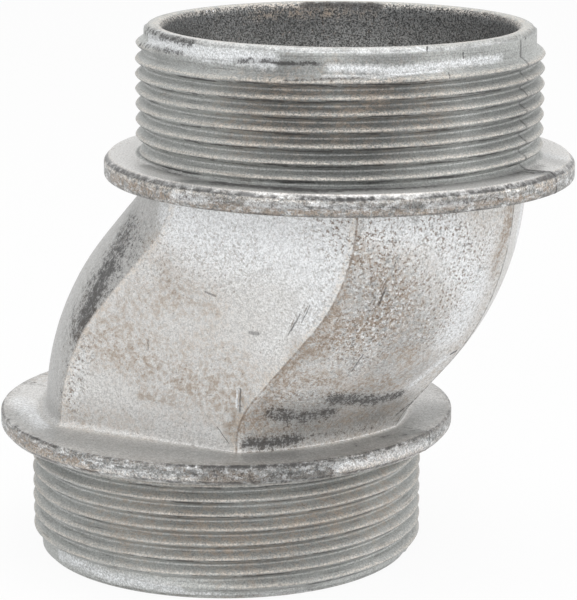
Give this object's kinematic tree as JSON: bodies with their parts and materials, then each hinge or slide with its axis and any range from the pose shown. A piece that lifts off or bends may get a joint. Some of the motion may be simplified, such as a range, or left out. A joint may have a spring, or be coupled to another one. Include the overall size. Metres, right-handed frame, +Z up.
{
  "type": "offset conduit nipple",
  "caption": "Offset conduit nipple in cast zinc: threaded ends on parallel axes, round flanges and a bent flat-sided body with a through passage.",
  "frame": {"origin": "on the plane of the lower end face, under the centre of the bounding box, half way between the axes of the two threaded ends", "axes": "+X from the lower end's axis towards the upper end's axis, +Y across the flat sides, +Z up along the axes of the threaded ends"},
  "size_m": [0.088, 0.069, 0.0814],
  "materials": {
    "cast_zinc": "as-cast zinc, satin, with oxide stains, flow marks and small pits"
  },
  "bodies": {
    "root": {"nipple_casting": "cast_zinc"}
  },
  "joints": []
}
